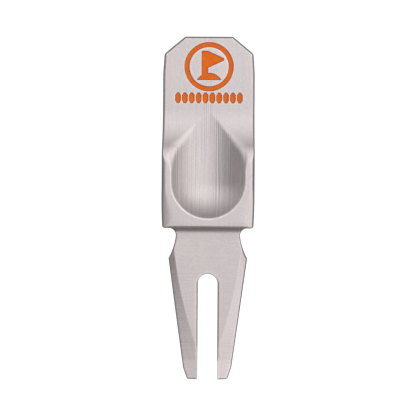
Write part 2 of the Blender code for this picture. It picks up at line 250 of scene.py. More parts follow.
def fork_side():
    """Right side of the fork, from the body's wall to the tip and up the slot to its middle."""
    centre = flare_centre()
    points = neck_fillet(centre)
    first, last = flare_angles(centre)
    points += arc(centre, FLARE_RADIUS, first, last, 14)[1:-1]
    shoulder = (SHOULDER_HALF_WIDTH, SHOULDER_Y)
    side_end_y = TIP_Y + PRONG_CORNER_RUN
    side_end = (fork_half_width(side_end_y), side_end_y)
    prong_end = (PRONG_END_HALF_WIDTH, TIP_Y)
    slot_foot = (SLOT_HALF_WIDTH, TIP_Y)
    slot_centre = (0.0, SLOT_TOP_Y - SLOT_HALF_WIDTH)
    points += rounded_corner(points[-1], shoulder, side_end, SHOULDER_RADIUS, 5)
    points += rounded_corner(shoulder, side_end, prong_end, PRONG_CORNER_RADIUS, 7)
    points += rounded_corner(side_end, prong_end, slot_foot, PRONG_END_RADIUS, 5)
    points += rounded_corner(prong_end, slot_foot, (SLOT_HALF_WIDTH, 0.0), TIP_INNER_CORNER, 5)
    points += arc(slot_centre, SLOT_HALF_WIDTH, 0, 90, 16)
    return filled_in(points, OUTLINE_STEP)


def mirrored(points):
    return [(-x, y) for x, y in reversed(points)]


def inward_normals(points, closed):
    """Unit normals of a clockwise line, which point into the shape that it bounds."""
    p = np.array(points)
    if closed:
        ahead = np.roll(p, -1, 0) - p
        behind = p - np.roll(p, 1, 0)
    else:
        ahead = np.vstack([p[1:] - p[:-1], p[-1:] - p[-2:-1]])
        behind = np.vstack([p[1:2] - p[:1], p[1:] - p[:-1]])
    ahead /= np.linalg.norm(ahead, axis=1)[:, None]
    behind /= np.linalg.norm(behind, axis=1)[:, None]
    along = ahead + behind
    along /= np.linalg.norm(along, axis=1)[:, None]
    return np.stack([along[:, 1], -along[:, 0]], 1)


def distance_to_line(points, line, closed=True):
    """Distance from each point to a line of points."""
    line = np.array(line)
    start = line if closed else line[:-1]
    end = np.roll(line, -1, 0) if closed else line[1:]
    run = end - start
    square = np.maximum((run**2).sum(1), 1e-12)
    result = np.full(len(points), 1e9)
    for i in range(0, len(points), 4000):
        gap = points[i : i + 4000, None, :] - start[None]
        share = np.clip((gap * run[None]).sum(2) / square[None], 0, 1)
        off = gap - share[:, :, None] * run[None]
        result[i : i + 4000] = np.sqrt((off**2).sum(2)).min(1)
    return result


def inside(points, loop):
    """Whether each point lies inside a closed line."""
    line = np.array(loop)
    x0, y0 = line[:, 0], line[:, 1]
    x1, y1 = np.roll(x0, -1), np.roll(y0, -1)
    result = np.zeros(len(points), bool)
    for i in range(0, len(points), 8000):
        x = points[i : i + 8000, 0][:, None]
        y = points[i : i + 8000, 1][:, None]
        spans = (y0 > y) != (y1 > y)
        with np.errstate(divide="ignore", invalid="ignore"):
            crossing = x0 + (y - y0) * (x1 - x0) / (y1 - y0)
        result[i : i + 8000] = (np.logical_and(spans, x < crossing).sum(1) % 2) == 1
    return result


# ---------------------------------------------------------------- heights


def ramp(value, start, end):
    """0 before start and 1 after end, with a smooth turn between them."""
    share = np.clip((value - start) / (end - start), 0.0, 1.0)
    return share * share * (3 - 2 * share)


def blended_min(a, b, width):
    share = np.clip(1 - np.abs(a - b) / width, 0, 1)
    return np.minimum(a, b) - share**2 * width / 4


def side_profile(y):
    """Height of the head plate, the rise and the rim, along the tool."""
    tilt = radians(RISE_TILT)
    join = RISE_START_Y - RISE_HOLLOW_RADIUS * sin(tilt)
    crest = RISE_START_Y - (RISE_HOLLOW_RADIUS + RISE_ROUND_RADIUS) * sin(tilt)
    run = np.clip(RISE_START_Y - y, 0, RISE_START_Y - join)
    hollow = HEAD_Z + RISE_HOLLOW_RADIUS - np.sqrt(RISE_HOLLOW_RADIUS**2 - run**2)
    left = np.clip(y - crest, 0, join - crest)
    rounded = RIM_Z - RISE_ROUND_RADIUS + np.sqrt(RISE_ROUND_RADIUS**2 - left**2)
    return np.where(y > join, hollow, rounded)


def lip_height(x, y):
    """The lip above the step down to the fork leans forward, over more of the rim toward its corners."""
    run = LIP_RUN + LIP_RUN_GROWTH * x**2
    over = np.maximum(run - (y - WALL_Y), 0)
    return RIM_Z - 0.5 * LIP_SLOPE * over**2 / (run - WALL_EDGE)


SCOOP_DEPTH = RIM_Z - SCOOP_FLOOR_Z
SCOOP_RADIUS = (SCOOP_HALF_WIDTH**2 + SCOOP_DEPTH**2) / (2 * SCOOP_DEPTH)
SCOOP_CENTRE_Z = SCOOP_FLOOR_Z + SCOOP_RADIUS


def scoop_height(x, y):
    across = x**2 + np.minimum(y - SCOOP_END_Y, 0) ** 2
    return SCOOP_CENTRE_Z - np.sqrt(np.maximum(SCOOP_RADIUS**2 - across, 0.01))


def rim_side_height(x, y):
    """Height left by the soft rounding of the raised body's long edges, which widens toward the wall."""
    depth = body_half_width(y) - np.abs(x)
    width = RIM_SIDE_WIDTH + RIM_SIDE_GROWTH * np.clip(RIM_SIDE_GROWTH_Y - y, 0, RIM_SIDE_GROWTH_RUN)
    curve = RIM_SIDE_SLOPE / (width - RIM_SIDE_FLAT)
    return RIM_Z - 0.5 * curve * np.maximum(width - depth, 0) ** 2


def block_edge(x, y):
    """Width of the broken edge round the top of the head and body."""
    on_head = HEAD_EDGE + (BODY_EDGE - HEAD_EDGE) * ramp(-y, -21.0, -12.0)
    along = on_head + (RIM_EDGE - BODY_EDGE) * ramp(-y, -11.5, -8.0)
    to_side = body_half_width(y) - np.abs(x)
    return along + (WALL_EDGE - along) * ramp(to_side - (y - WALL_Y), -0.5, 0.5)


def broken_off(depth, width, softness):
    """How far a broken edge has fallen, at a distance inside the outline: a 45 degree cut, eased in."""
    left = np.clip(width - depth, 0, width)
    soft = np.maximum(width * softness, 0.001)
    return np.where(left < soft, left**2 / (2 * soft), left - soft / 2)


def ridge_blend(x, y):
    """Width of blend that gives the ridge round the scoop its radius, whatever the angle it turns."""
    small = 0.02
    across = np.clip(np.abs(x), 0, SCOOP_HALF_WIDTH)
    past = np.minimum(y - SCOOP_END_Y, 0)
    level = np.sqrt(np.maximum(SCOOP_RADIUS**2 - np.minimum(across**2 + past**2, SCOOP_HALF_WIDTH**2), 1))
    rise = (side_profile(y + small) - side_profile(y - small)) / (2 * small)
    turn = (rise - past / level) ** 2 + (across / level) ** 2
    radius = RIM_RIDGE_RADIUS + (RISE_RIDGE_RADIUS - RIM_RIDGE_RADIUS) * ramp(y, 8.0, 13.0)
    return np.maximum(radius * turn / 2, 0.01)


def block_height(x, y, depth):
    profile = side_profile(y)
    height = blended_min(profile, scoop_height(x, y), ridge_blend(x, y))
    edge = blended_min(rim_side_height(x, y), lip_height(x, y), 0.12)
    height = blended_min(height, edge, 0.03)
    at_wall = ramp(body_half_width(y) - np.abs(x) - (y - WALL_Y), -0.5, 0.5)
    softness = EDGE_SOFTNESS + (1 - EDGE_SOFTNESS) * at_wall
    return height - broken_off(depth, block_edge(x, y), softness)


def fork_face_z(y):
    run = WALL_Y - WALL_FILLET - y
    full = WALL_Y - WALL_FILLET - TIP_FACET_Y
    return FORK_ROOT_Z - FORK_FALL * (np.maximum(run, 0) / full) ** 2


def bevel_inner(y):
    run = SHOULDER_Y - y
    return fork_half_width(y) - BEVEL_WIDTH_AT_SHOULDER - BEVEL_WIDTH_GROWTH * np.maximum(run, 0.0) ** 2


def fork_height(x, y):
    face = fork_face_z(np.maximum(y, TIP_FACET_Y))
    face = face - TIP_FACET_FALL * np.maximum(TIP_FACET_Y - y, 0)
    share = np.clip((SHOULDER_Y - y) / (SHOULDER_Y - TIP_FACET_Y), 0, 1) ** BEVEL_TILT_POWER
    tilt = np.radians(BEVEL_TILT_AT_SHOULDER + (BEVEL_TILT_AT_TIP - BEVEL_TILT_AT_SHOULDER) * share)
    bevel = face - (np.abs(x) - bevel_inner(y)) * np.tan(tilt)
    bevel = np.where(y > BEVEL_START_Y, face + 1.0, bevel)
    height = blended_min(face, bevel, 0.06)
    for middle in ROOT_RIDGES:
        share = np.clip(1 - np.abs(y - middle) / ROOT_RIDGE_HALF_WIDTH, 0, 1)
        height = height + ROOT_RIDGE_HEIGHT * share**2 * (3 - 2 * share)
    up = np.clip(y - (WALL_Y - WALL_FILLET), 0, WALL_FILLET)
    return height + WALL_FILLET - np.sqrt(np.maximum(WALL_FILLET**2 - up**2, 0))


# ---------------------------------------------------------------- mesh building


class Skin:
    """Points and faces of one closed surface, welded where its patches meet."""

    def __init__(self):
        self.points = []
        self.faces = []
        self.count = 0

    def add(self, points):
        points = np.asarray(points, float)
        self.points.append(points)
        self.count += len(points)
        return list(range(self.count - len(points), self.count))

    def strip(self, first, second, closed):
        """Quads between two rows of points that match one for one."""
        a = self.add(first)
        b = self.add(second)
        n = len(a)
        for i in range(n if closed else n - 1):
            j = (i + 1) % n
            self.faces.append((a[i], a[j], b[j], b[i]))

    def patch(self, points, triangles):
        start = self.count
        self.add(points)
        self.faces += [tuple(start + i for i in t) for t in triangles]

    def mesh(self, name):
        points = np.vstack(self.points)
        keys = np.round(points, WELD_DIGITS)
        _, index, inverse = np.unique(keys, axis=0, return_index=True, return_inverse=True)
        inverse = inverse.reshape(-1)
        corners = points[index] * MM
        faces = set()
        ordered = []
        for face in self.faces:
            loop = []
            for i in face:
                j = int(inverse[i])
                if not loop or loop[-1] != j:
                    loop.append(j)
            if loop[0] == loop[-1]:
                loop.pop()
            if len(set(loop)) < 3 or len(set(loop)) != len(loop):
                continue
            key = tuple(sorted(loop))
            if key not in faces:
                faces.add(key)
                ordered.append(loop)
        mesh = bpy.data.meshes.new(name)
        mesh.from_pydata([tuple(c) for c in corners], [], ordered)
        bm = bmesh.new()
        bm.from_mesh(mesh)
        bmesh.ops.recalc_face_normals(bm, faces=bm.faces)
        bm.to_mesh(mesh)
        bm.free()
        mesh.update()
        return mesh


def filled(loops, free, clearance=0.05):
    """Triangles that fill the first loop less the others, through the free points inside."""
    points = []
    edges = []
    for loop in loops:
        start = len(points)
        points += [tuple(p) for p in loop]
        count = len(loop)
        edges += [(start + i, start + (i + 1) % count) for i in range(count)]
    free = np.array(free, float).reshape(-1, 2)
    if len(free):
        keep = inside(free, loops[0])
        for loop in loops[1:]:
            keep &= ~inside(free, loop)
        free = free[keep]
        keep = np.ones(len(free), bool)
        for loop in loops:
            keep &= distance_to_line(free, loop) > clearance
        free = free[keep]
        free = free[np.unique(np.round(free / 0.03), axis=0, return_index=True)[1]]
        points += [tuple(p) for p in free]
    made = delaunay_2d_cdt([Vector(p) for p in points], edges, [], 0, 1e-6, True)
    placed = np.array([points[source[0]] if source else tuple(v) for v, source in zip(made[0], made[3])])
    triangles = np.array([tuple(f) for f in made[2]])
    a, b, c = (placed[triangles[:, k]] for k in range(3))
    area = np.abs((b - a)[:, 0] * (c - a)[:, 1] - (b - a)[:, 1] * (c - a)[:, 0])
    middle = placed[triangles].mean(1)
    keep = inside(middle, loops[0]) & (area > 1e-7)
    for loop in loops[1:]:
        keep &= ~inside(middle, loop)
    return placed, [tuple(t) for t in triangles[keep]]


def grid(x0, x1, step_x, y0, y1, step_y):
    xs = np.linspace(x0, x1, max(2, int(round((x1 - x0) / step_x)) + 1))
    ys = np.linspace(y0, y1, max(2, int(round((y1 - y0) / step_y)) + 1))
    across, along = np.meshgrid(xs, ys)
    return np.stack([across.ravel(), along.ravel()], 1)


def raised(points, heights):
    return np.column_stack([np.asarray(points), heights])


def matched(points, heights, rows):
    """Points raised to their heights, except that those on a known row take the row's own height."""
    known = {(x, y): z for row in rows for x, y, z in row.tolist()}
    heights = [known.get((x, y), z) for (x, y), z in zip(points.tolist(), heights)]
    return raised(points, np.array(heights))


# ---------------------------------------------------------------- engraved marks


def signed_area(points):
    total = 0.0
    for (x0, y0), (x1, y1) in zip(points, points[1:] + points[:1]):
        total += x0 * y1 - x1 * y0
    return total / 2


def moved_in(points, distance):
    """A closed outline with every edge moved inward, or outward for a negative distance."""
    inward = distance if signed_area(points) > 0 else -distance
    moved = []
    for i, point in enumerate(points):
        here = Vector(point)
        before = (here - Vector(points[i - 1])).normalized()
        after = (Vector(points[(i + 1) % len(points)]) - here).normalized()
        side = Vector((-before.y, before.x)) + Vector((-after.y, after.x))
        side.normalize()
        cosine = side.dot(Vector((-after.y, after.x)))
        here += side * (inward / cosine)
        moved.append((here.x, here.y))
    return moved


def ring_outline(radius):
    return arc((0.0, EMBLEM_Y), radius, 0, 360, 112)[:-1]


def flag_outline():
    left = FLAG_POLE_X - FLAG_POLE_WIDTH / 2
    right = FLAG_POLE_X + FLAG_POLE_WIDTH / 2
    radius = (MOUND_HALF_WIDTH**2 + MOUND_HEIGHT**2) / (2 * MOUND_HEIGHT)
    centre = (0.0, FLAG_BOTTOM_Y + MOUND_HEIGHT - radius)
    foot = degrees(acos(MOUND_HALF_WIDTH / radius))
    points = arc(centre, radius, foot, degrees(acos(right / radius)), 8)
    tip_x = right + FLAG_FLY
    tip_y = FLAG_TOP_Y - FLAG_HOIST / 2
    points += [(right, FLAG_TOP_Y - FLAG_HOIST), (tip_x, tip_y - FLAG_TIP_BLUNT)]
    points += [(tip_x, tip_y + FLAG_TIP_BLUNT), (right, FLAG_TOP_Y), (left, FLAG_TOP_Y)]
    points += arc(centre, radius, degrees(acos(left / radius)), 180 - foot, 5)
    return [(x, y + EMBLEM_Y) for x, y in points]


def mark_outline(index):
    x = (index - (MARK_COUNT - 1) / 2) * MARK_PITCH
    w = MARK_WIDTH / 2
    h = MARK_HEIGHT / 2
    cut_w = w - MARK_CHAMFER_X
    cut_h = h - MARK_CHAMFER_Y
    points = [(w, -cut_h), (w, cut_h), (cut_w, h), (-cut_w, h)]
    points += [(-w, cut_h), (-w, -cut_h), (-cut_w, -h), (cut_w, -h)]
    return [(x + px, MARK_ROW_Y + py) for px, py in points]


def divided(outline, step):
    return filled_in(list(outline) + [outline[0]], step)[:-1]


def pockets():
    """For each engraved mark, its CAD node's name, outer line and inner line if it has one."""
    rows = [("paint_ring", ring_outline(RING_OUTER_RADIUS), ring_outline(RING_OUTER_RADIUS - STROKE))]
    rows.append(("paint_flag", divided(flag_outline(), 0.3), None))
    for i in range(MARK_COUNT):
        rows.append((f"paint_mark_{i + 1:02d}", divided(mark_outline(i), 0.25), None))
    return rows


# ---------------------------------------------------------------- the body


def scoop_edge():
    """The line where the scoop meets the rim and the rise, right half from its far end to the head."""
    points = arc((0.0, SCOOP_END_Y), SCOOP_HALF_WIDTH, -90, 0, 150)
    for y in np.arange(SCOOP_END_Y + 0.1, RISE_START_Y - 0.35, 0.1):
        sag = SCOOP_CENTRE_Z - float(side_profile(np.array(y)))
        points.append((sqrt(max(SCOOP_RADIUS**2 - sag**2, 0.0)), float(y)))
    return points


def block_points(outline):
    """Free points of the block's top, closer together where it bends."""
    sets = [grid(-10.4, 10.4, STEP, -4.2, 39.8, STEP)]
    sets.append(grid(-10.4, 10.4, STEP, 8.0, 24.0, 0.25))
    edge = scoop_edge()
    edge = mirrored(edge)[:-1] + edge
    normals = inward_normals(edge, False)
    line = np.array(edge)
    fine = grid(-8.28, 8.28, SCALLOP_PITCH / 6, -2.0, 23.0, 0.3)
    near = distance_to_line(fine, edge, False)
    fine = fine[inside(fine, edge) & (near > 0.95)]
    coarse = np.vstack(sets)
    near = distance_to_line(coarse, edge, False)
    coarse = coarse[(near > 1.05) & ~(inside(coarse, edge) & (near > 0.9))]
    rows = [line + normals * off for off in RIDGE_ROWS]
    sets = [coarse, fine] + rows
    side_normals = inward_normals(outline, True)
    line = np.array(outline)
    for depth in OUTLINE_ROWS:
        row = line + side_normals * depth
        sets.append(row[distance_to_line(row, outline) > depth * 0.97])
    for side in (-1, 1):
        sets.append(grid(side * 7.2, side * 9.6, 0.2, -4.0, 6.0, 0.3))
    for depth in LIP_ROWS:
        sets.append(np.array([(x, WALL_Y + depth) for x in np.linspace(-10.2, 10.2, 70)]))
    for name, outer, inner in pockets():
        for loop, sign in ((outer, -1), (inner, 1)):
            if loop:
                sets.append(np.array(moved_in(loop, sign * (POCKET_EDGE + 0.12))))
    return np.vstack(sets)


def build_block(skin, outline):
    """Top of the head and body. Returns the row of points along its outer edge."""
    normals = inward_normals(outline, True)
    line = np.array(outline)
    rows = []
    for depth in EDGE_ROWS:
        at = line + normals * depth
        rows.append(raised(at, block_height(at[:, 0], at[:, 1], np.full(len(at), depth))))
    for first, second in zip(rows, rows[1:]):
        skin.strip(first, second, True)
    loops = [[tuple(p) for p in rows[-1][:, :2]]]
    lips = []
    floor = HEAD_Z - ENGRAVING_DEPTH
    for name, outer, inner in pockets():
        for loop, sign in ((outer, -1), (inner, 1)):
            if loop is None:
                continue
            lip = moved_in(loop, sign * POCKET_EDGE)
            loops.append(lip)
            top = raised(lip, np.full(len(lip), HEAD_Z))
            lips.append(top)
            half = moved_in(loop, sign * POCKET_EDGE * 0.35)
            mid = raised(half, np.full(len(half), HEAD_Z - POCKET_EDGE * 0.3))
            below = raised(loop, np.full(len(loop), HEAD_Z - POCKET_EDGE))
            base = raised(loop, np.full(len(loop), floor))
            for first, second in ((top, mid), (mid, below), (below, base)):
                skin.strip(first, second, True)
        found, triangles = filled([outer] + ([inner] if inner else []), [])
        skin.patch(raised(found, np.full(len(found), floor)), triangles)
    ring_inner = loops[2]
    found, triangles = filled([loops[0], loops[1]] + loops[4:], block_points(outline))
    depth = distance_to_line(found, outline)
    heights = block_height(found[:, 0], found[:, 1], depth)
    skin.patch(matched(found, heights, [rows[-1]] + lips), triangles)
    inner_points = grid(-5, 5, 0.35, EMBLEM_Y - 5, EMBLEM_Y + 5, 0.35)
    found, triangles = filled([ring_inner, loops[3]], inner_points)
    skin.patch(raised(found, np.full(len(found), HEAD_Z)), triangles)
    return rows[0]


def fork_edges(outline):
    """Width of the broken edge at each point of the fork's outline."""
    p = np.array(outline)
    x = np.abs(p[:, 0])
    y = p[:, 1]
    in_slot = (x < SLOT_HALF_WIDTH + 0.02) & (y > TIP_Y + 0.2)
    slot = SLOT_EDGE - (SLOT_EDGE - 0.06) * ramp(-y, 34.0, 36.2)
    slot = slot - (SLOT_EDGE - 0.14) * ramp(y, SLOT_TOP_Y - SLOT_HALF_WIDTH, SLOT_TOP_Y - 0.6)
    outer = np.full(len(p), FORK_EDGE)
    width = np.where(in_slot, slot, outer)
    return np.minimum(width, 0.45 * (WALL_Y - y))


def build_fork(skin, outline):
    """Top of the fork. Returns its outer row of points and its row along the wall."""
    line = np.array(outline)
    normals = inward_normals(outline, False)
    normals[0] = (0.0, 1.0)
    normals[-1] = (0.0, 1.0)
    width = fork_edges(outline)
    rows = []
    for share in FORK_EDGE_SHARES:
        depth = width * share
        at = line + normals * depth[:, None]
        height = fork_height(at[:, 0], at[:, 1]) - broken_off(depth, width, EDGE_SOFTNESS)
        rows.append(raised(at, height))
    for first, second in zip(rows, rows[1:]):
        skin.strip(first, second, False)
    reach = outline[0][0]
    seam_x = np.linspace(-reach, reach, 57)[1:-1]
    seam = [(float(x), WALL_Y) for x in seam_x]
    loop = [tuple(p) for p in rows[-1][:, :2]] + seam
    free = [grid(-9.4, 9.4, STEP, -39.8, -4.3, STEP)]
    for angle in np.linspace(3, 87, 15):
        y = WALL_Y - WALL_FILLET * (1 - sin(radians(angle)))
        free.append(np.array([(x, y) for x in np.linspace(-9.3, 9.3, 54)]))
    stations = np.arange(BEVEL_START_Y, TIP_Y, -0.25)
    for side in (-1, 1):
        for off in BEVEL_ROWS:
            free.append(np.column_stack([side * (bevel_inner(stations) + off), stations]))
    for off in FACET_ROWS:
        free.append(np.array([(x, TIP_FACET_Y + off) for x in np.linspace(-7, 7, 60)]))
    for middle in ROOT_RIDGES:
        for off in ROOT_RIDGE_ROWS:
            free.append(np.array([(x, middle + off) for x in np.linspace(-7.4, 7.4, 60)]))
    found, triangles = filled([loop], np.vstack(free), 0.03)
    seam_row = raised(seam, np.full(len(seam), FORK_ROOT_Z + WALL_FILLET))
    skin.patch(matched(found, fork_height(found[:, 0], found[:, 1]), [rows[-1], seam_row]), triangles)
    return rows[0], seam_row


def column(top, base_z, count=6):
    """Points straight down from a row of points, as rows."""
    rows = []
    for i in range(count + 1):
        share = i / count
        row = top.copy()
        row[:, 2] = top[:, 2] + (base_z - top[:, 2]) * share
        rows.append(row)
    return rows


def build_body():
    skin = Skin()
    side = block_side()
    wall_end = side[-1]
    block_open = mirrored(side)[:-1] + side
    lip = filled_in([wall_end, (-wall_end[0], WALL_Y)], OUTLINE_STEP)[1:-1]
    block_loop = block_open + lip
    block_row = build_block(skin, block_loop)
    sides = block_row[: len(block_open)]
    lip_row = block_row[len(block_open) :]
    side_rows = column(sides, BACK_EDGE)
    for first, second in zip(side_rows, side_rows[1:]):
        skin.strip(first, second, False)

    fork = fork_side()
    fork_open = fork[:-1] + mirrored(fork)
    fork_row, seam_row = build_fork(skin, fork_open)
    fork_rows = column(fork_row, BACK_EDGE, 4)
    for first, second in zip(fork_rows, fork_rows[1:]):
        skin.strip(first, second, False)

    wall_right = filled_in([wall_end, fork[0]], OUTLINE_STEP)
    foot = [(x, BACK_EDGE) for x, y in wall_right]
    right = [(row[-1][0], row[-1][2]) for row in side_rows]
    inner = [(row[0][0], row[0][2]) for row in fork_rows][::-1]
    loop = [(x, z) for x, z in lip_row[::-1][:, [0, 2]].tolist()]
    loop = [tuple(p) for p in loop] + right
    loop += foot[1:] + inner[1:]
    loop += [(x, z) for x, z in seam_row[::-1][:, [0, 2]].tolist()]
    loop += [(-x, z) for x, z in reversed(inner)]
    loop += [(-x, z) for x, z in reversed(foot[:-1])]
    loop += [(-x, z) for x, z in reversed(right[:-1])]
    found, triangles = filled([loop], grid(-10, 10, 0.6, 0.6, 8.0, 0.6), 0.1)
    wall = np.column_stack([found[:, 0], np.full(len(found), WALL_Y), found[:, 1]])
    skin.patch(wall, triangles)

    plan = block_open + wall_right[1:-1] + fork_open + mirrored(wall_right)[1:-1]
    normals = inward_normals(plan, True)
    line = np.array(plan)
    rows = []
    for angle in (0, 18, 36, 54, 72, 90):
        at = line + normals * BACK_EDGE * (1 - cos(radians(angle)))
        rows.append(raised(at, np.full(len(at), BACK_EDGE * (1 - sin(radians(angle))))))
    for first, second in zip(rows, rows[1:]):
        skin.strip(first, second, True)
    loop = [tuple(p) for p in rows[-1][:, :2]]
    found, triangles = filled([loop], grid(-10, 10, 1.2, -39, 39, 1.2), 0.3)
    skin.patch(raised(found, np.zeros(len(found))), triangles)
    return skin.mesh("milled_body_finished")


def scoop_attribute(mesh):
    """1 on the scoop's own surface, where the cutter's tracks are deeper, and 0 elsewhere."""
    count = len(mesh.vertices)
    co = np.empty(count * 3)
    mesh.vertices.foreach_get("co", co)
    x, y, z = co.reshape(-1, 3).T / MM
    off = np.abs(z - scoop_height(x, y))
    value = np.clip(1.4 - off / 0.12, 0, 1) * (np.abs(x) < SCOOP_HALF_WIDTH) * (y > WALL_Y + 1)
    attribute = mesh.attributes.new("in_scoop", "FLOAT", "POINT")
    attribute.data.foreach_set("value", value.astype(np.float32))


def wear_and_highlight_attribute(mesh):
    """How sharply the surface turns outward at each point, for the rubbed edges, which are painted
    brighter: partly wear, partly a painted highlight.
    """
    count = len(mesh.vertices)
    co = np.empty(count * 3)
    mesh.vertices.foreach_get("co", co)
    co = co.reshape(-1, 3)
    normal = np.empty(count * 3)
    mesh.vertices.foreach_get("normal", normal)
    normal = normal.reshape(-1, 3)
    edges = np.empty(len(mesh.edges) * 2, int)
    mesh.edges.foreach_get("vertices", edges)
    edges = edges.reshape(-1, 2)
    a, b = edges[:, 0], edges[:, 1]
    run = co[b] - co[a]
    length = np.maximum(np.linalg.norm(run, axis=1), 1e-7)
    turn = ((normal[b] - normal[a]) * run).sum(1) / length**2
    total = np.zeros(count)
    weight = np.zeros(count)
    for ends in (a, b):
        np.add.at(total, ends, turn * length)
        np.add.at(weight, ends, length)
    value = np.clip(total / np.maximum(weight, 1e-9) * MM * 0.5, 0, 1)
    for _ in range(2):
        spread = np.zeros(count)
        seen = np.zeros(count)
        for one, other in ((a, b), (b, a)):
            np.add.at(spread, one, value[other])
            np.add.at(seen, one, 1)
        value = 0.5 * value + 0.5 * spread / np.maximum(seen, 1)
    attribute = mesh.attributes.new("edge_wear_and_highlight", "FLOAT", "POINT")
    attribute.data.foreach_set("value", value.astype(np.float32))


def build_paint(outer, inner):
    """One dished fill of paint: flat underneath, upright sides, and a top that sinks in the middle."""
    skin = Skin()
    low = HEAD_Z - ENGRAVING_DEPTH + PAINT_GAP
    high = HEAD_Z - PAINT_RECESS
    loops = [moved_in(outer, PAINT_GAP)]
    if inner:
        loops.append(moved_in(inner, -PAINT_GAP))
    xs = [p[0] for p in loops[0]]
    ys = [p[1] for p in loops[0]]
    free = [grid(min(xs), max(xs), 0.11, min(ys), max(ys), 0.11)]
    for k, loop in enumerate(loops):
        for off in (0.05, 0.1, 0.16):
            free.append(np.array(moved_in(loop, off if k == 0 else -off)))
    found, triangles = filled(loops, np.vstack(free), 0.035)
    depth = np.min([distance_to_line(found, loop) for loop in loops], axis=0)
    sink = PAINT_DISH * (1 - np.exp(-depth / PAINT_DISH_REACH))
    skin.patch(raised(found, high - sink), triangles)
    skin.patch(*reversed_patch(loops, low))
    for loop in loops:
        skin.strip(raised(loop, np.full(len(loop), high)), raised(loop, np.full(len(loop), low)), True)
    return skin


def reversed_patch(loops, z):
    found, triangles = filled(loops, [])
    return raised(found, np.full(len(found), z)), triangles


# ---------------------------------------------------------------- materials


class Nodes:
    """Short calls for building a node tree."""

    def __init__(self, tree):
        self.tree = tree

    def add(self, kind, **settings):
        node = self.tree.nodes.new(kind)
        for key, value in settings.items():
            setattr(node, key, value)
        return node

    def link(self, output, target):
        self.tree.links.new(output, target)

    def feed(self, socket, value):
        if hasattr(value, "is_output"):
            self.link(value, socket)
        else:
            socket.default_value = value

    def math(self, operation, a, b=0.0, clamp=False):
        node = self.add("ShaderNodeMath", operation=operation, use_clamp=clamp)
        self.feed(node.inputs[0], a)
        self.feed(node.inputs[1], b)
        return node.outputs[0]

    def span(self, value, low, high, to_low, to_high):
        node = self.add("ShaderNodeMapRange", clamp=True, interpolation_type="LINEAR")
        for socket, item in zip(node.inputs[:5], (value, low, high, to_low, to_high)):
            self.feed(socket, item)
        return node.outputs[0]

    def scaled(self, vector, scale):
        node = self.add("ShaderNodeMapping")
        self.link(vector, node.inputs["Vector"])
        node.inputs["Scale"].default_value = scale
        return node.outputs[0]

    def noise(self, vector, scale, detail=3.0, roughness=0.55):
        node = self.add("ShaderNodeTexNoise")
        self.link(vector, node.inputs["Vector"])
        node.inputs["Scale"].default_value = scale
        node.inputs["Detail"].default_value = detail
        node.inputs["Roughness"].default_value = roughness
        return node.outputs["Fac"]

    def colour_mix(self, factor, a, b):
        node = self.add("ShaderNodeMix", data_type="RGBA")
        self.feed(node.inputs[0], factor)
        self.feed(node.inputs[6], a)
        self.feed(node.inputs[7], b)
        return node.outputs[2]


def new_material(name):
    material = bpy.data.materials.new(name)
    material.use_nodes = True
    material.node_tree.nodes.clear()
    nodes = Nodes(material.node_tree)
    shader = nodes.add("ShaderNodeBsdfPrincipled")
    output = nodes.add("ShaderNodeOutputMaterial")
    nodes.link(shader.outputs[0], output.inputs["Surface"])
    return material, nodes, shader


FLOOR_DARK = (0.26, 0.26, 0.26, 1.0)
FLOOR_LIGHT = (0.27, 0.27, 0.27, 1.0)
FLOOR_GLOW = 1.0
BACKDROP = 1.25
METAL_COLOUR = (0.645, 0.578, 0.575, 1.0)
METAL_COOL = (0.622, 0.57, 0.578, 1.0)
# Colour of the rubbed edges, lighter as a painted highlight as well as wear
METAL_WEAR_AND_HIGHLIGHT = (0.98, 0.92, 0.915, 1.0)
PAINT_DEEP = (0.80, 0.142, 0.008, 1.0)
PAINT_BRIGHT = (0.87, 0.18, 0.014, 1.0)
# Colour of the painted shade in the paint against the groove walls
PAINT_WALL_SHADE = (0.52, 0.06, 0.003, 1.0)
FORK_TRACKS_FROM_Y = -5.2
FORK_TRACKS_FULL_Y = -6.2
STREAK_TINT = 0.38
# How much lighter the tip facets are painted, as painted light
FACET_PAINTED_LIGHT = 0.1
SCALLOP_SHARE = 0.08
STREAK_DEPTH = 0.00008
SPECKLE_TINT = 0.3
SPECKLE_DEPTH = 0.12


